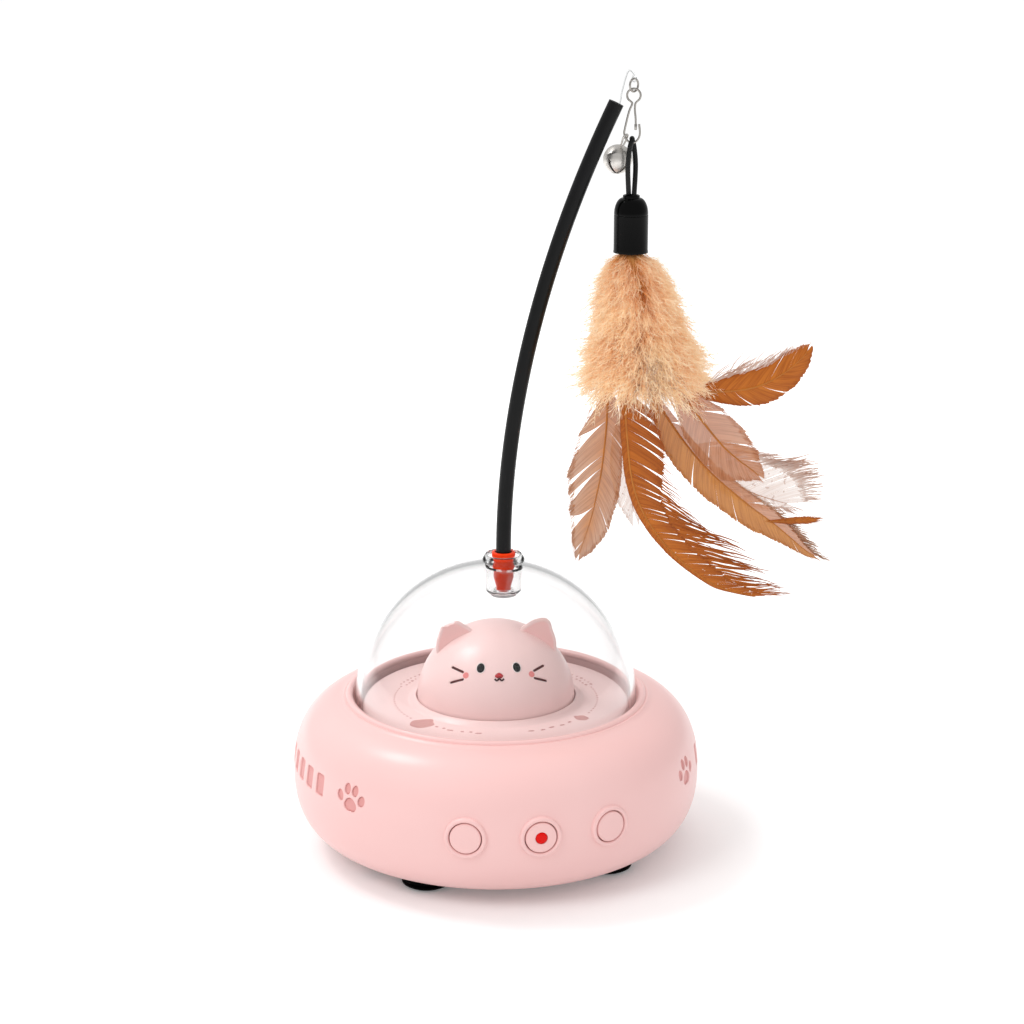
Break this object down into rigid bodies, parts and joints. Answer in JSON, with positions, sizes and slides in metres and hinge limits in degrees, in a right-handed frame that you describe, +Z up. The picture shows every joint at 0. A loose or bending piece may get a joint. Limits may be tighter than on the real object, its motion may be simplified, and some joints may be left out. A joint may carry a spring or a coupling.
{
  "type": "cat teaser toy",
  "caption": "Cat teaser: round base with push buttons, geared turntable under a clear dome with a cat head, and a bowed rod that dangles a bell and a feather lure from a snap clip.",
  "frame": {"origin": "centre of the base plate's flat underside, on the turntable's axis", "axes": "+Z up along the turntable's axis; the cat looks along -Y; the rod bows towards +X"},
  "size_m": [0.1946, 0.1507, 0.2845],
  "materials": {
    "shell": "pale pink moulded ABS, satin gloss",
    "inlay": "rose pink moulded ABS",
    "clear_plastic": "clear polycarbonate",
    "red_lens": "clear red acrylic",
    "black_plastic": "polished black",
    "rubber_foot": "black rubber",
    "rod": "black glass-fibre tube",
    "silicone": "orange-red silicone",
    "steel": "bright nickel plate",
    "acetal": "white acetal",
    "board": "green solder mask",
    "cell": "blue shrink wrap over a steel can",
    "nylon": "clear nylon line",
    "elastic": "black covered elastic",
    "down": "dyed marabou down",
    "feather": "brown feather",
    "pale_feather": "pale buff feather"
  },
  "bodies": {
    "base": {"upper_shell": "shell", "base_plate": "shell", "foot_1": "rubber_foot", "foot_2": "rubber_foot", "foot_3": "rubber_foot", "foot_4": "rubber_foot", "base_screw_1": "steel", "base_screw_2": "steel", "base_screw_3": "steel", "base_screw_4": "steel", "motor_screw_1": "steel", "motor_screw_2": "steel", "spindle_bush": "acetal", "gearbox_case": "acetal", "motor_can": "steel", "main_board": "board", "left_switch": "black_plastic", "power_switch": "black_plastic", "right_switch": "black_plastic", "indicator_led": "red_lens", "charge_board": "board", "usb_socket": "steel", "battery_cell": "cell", "left_inlay": "inlay", "right_inlay": "inlay"},
    "left_push": {"left_button": "shell"},
    "power_push": {"power_button": "shell", "indicator_lens": "red_lens"},
    "right_push": {"right_button": "shell"},
    "pinion": {"motor_pinion": "acetal"},
    "table": {"turntable": "shell", "dome": "clear_plastic", "rod_socket": "clear_plastic", "cat_head": "shell", "left_eye": "black_plastic", "right_eye": "black_plastic", "cat_nose": "silicone", "head_screw_1": "steel", "head_screw_2": "steel", "head_screw_3": "steel", "spindle": "steel", "spindle_nut": "steel", "drive_gear": "acetal"},
    "rod": {"rod_plug": "silicone", "rod_tube": "rod", "tip_line": "nylon"},
    "link": {"top_link": "steel"},
    "clip": {"snap_clip": "steel"},
    "bell": {"bell_shell": "steel", "bell_pellet": "steel"},
    "lure": {"elastic_loop": "elastic", "ferrule": "black_plastic", "fluff": "down", "feather_1": "feather", "feather_2": "pale_feather", "feather_3": "pale_feather", "feather_4": "feather", "feather_5": "feather", "feather_6": "pale_feather", "feather_7": "pale_feather"}
  },
  "joints": [
    {"name": "left_button_slide", "type": "slide", "parent": "base", "child": "left_push", "axis": [0.134, 0.991, 0], "range_m": [0, 0.0006], "stiffness_N_per_m": 800},
    {"name": "power_button_slide", "type": "slide", "parent": "base", "child": "power_push", "axis": [-0.213, 0.977, 0], "range_m": [0, 0.0006], "stiffness_N_per_m": 800},
    {"name": "right_button_slide", "type": "slide", "parent": "base", "child": "right_push", "axis": [-0.5344, 0.8453, 0], "range_m": [0, 0.0006], "stiffness_N_per_m": 800},
    {"name": "turntable_spin", "type": "hinge", "parent": "base", "child": "table", "pos_m": [0, 0, 0], "axis": [0, 0, 1], "continuous": true},
    {"name": "pinion_spin", "type": "hinge", "parent": "base", "child": "pinion", "pos_m": [-0.02951, -0.00643, 0.038], "axis": [0, 0, 1], "continuous": true},
    {"name": "rod_pull", "type": "slide", "parent": "table", "child": "rod", "axis": [0, 0, 1], "range_m": [0, 0.03]},
    {"name": "link_swing", "type": "hinge", "parent": "rod", "child": "link", "pos_m": [0.0482, 0, 0.27722], "axis": [0.766, 0.6428, 0], "range_deg": [-22, 22]},
    {"name": "clip_swing", "type": "hinge", "parent": "link", "child": "clip", "pos_m": [0.0482, 0, 0.27277], "axis": [0.766, 0.6428, 0], "range_deg": [-30, 30]},
    {"name": "bell_swing", "type": "hinge", "parent": "clip", "child": "bell", "pos_m": [0.04539, 0.00039, 0.25696], "axis": [1, 0, 0], "range_deg": [0, 50]},
    {"name": "lure_swing", "type": "hinge", "parent": "clip", "child": "lure", "pos_m": [0.04777, 0.00006, 0.25507], "axis": [0.9903, -0.1392, 0], "range_deg": [-35, 10]}
  ],
  "couplings": [
    {"joint": "pinion_spin", "follows": "turntable_spin", "ratio": -4}
  ]
}
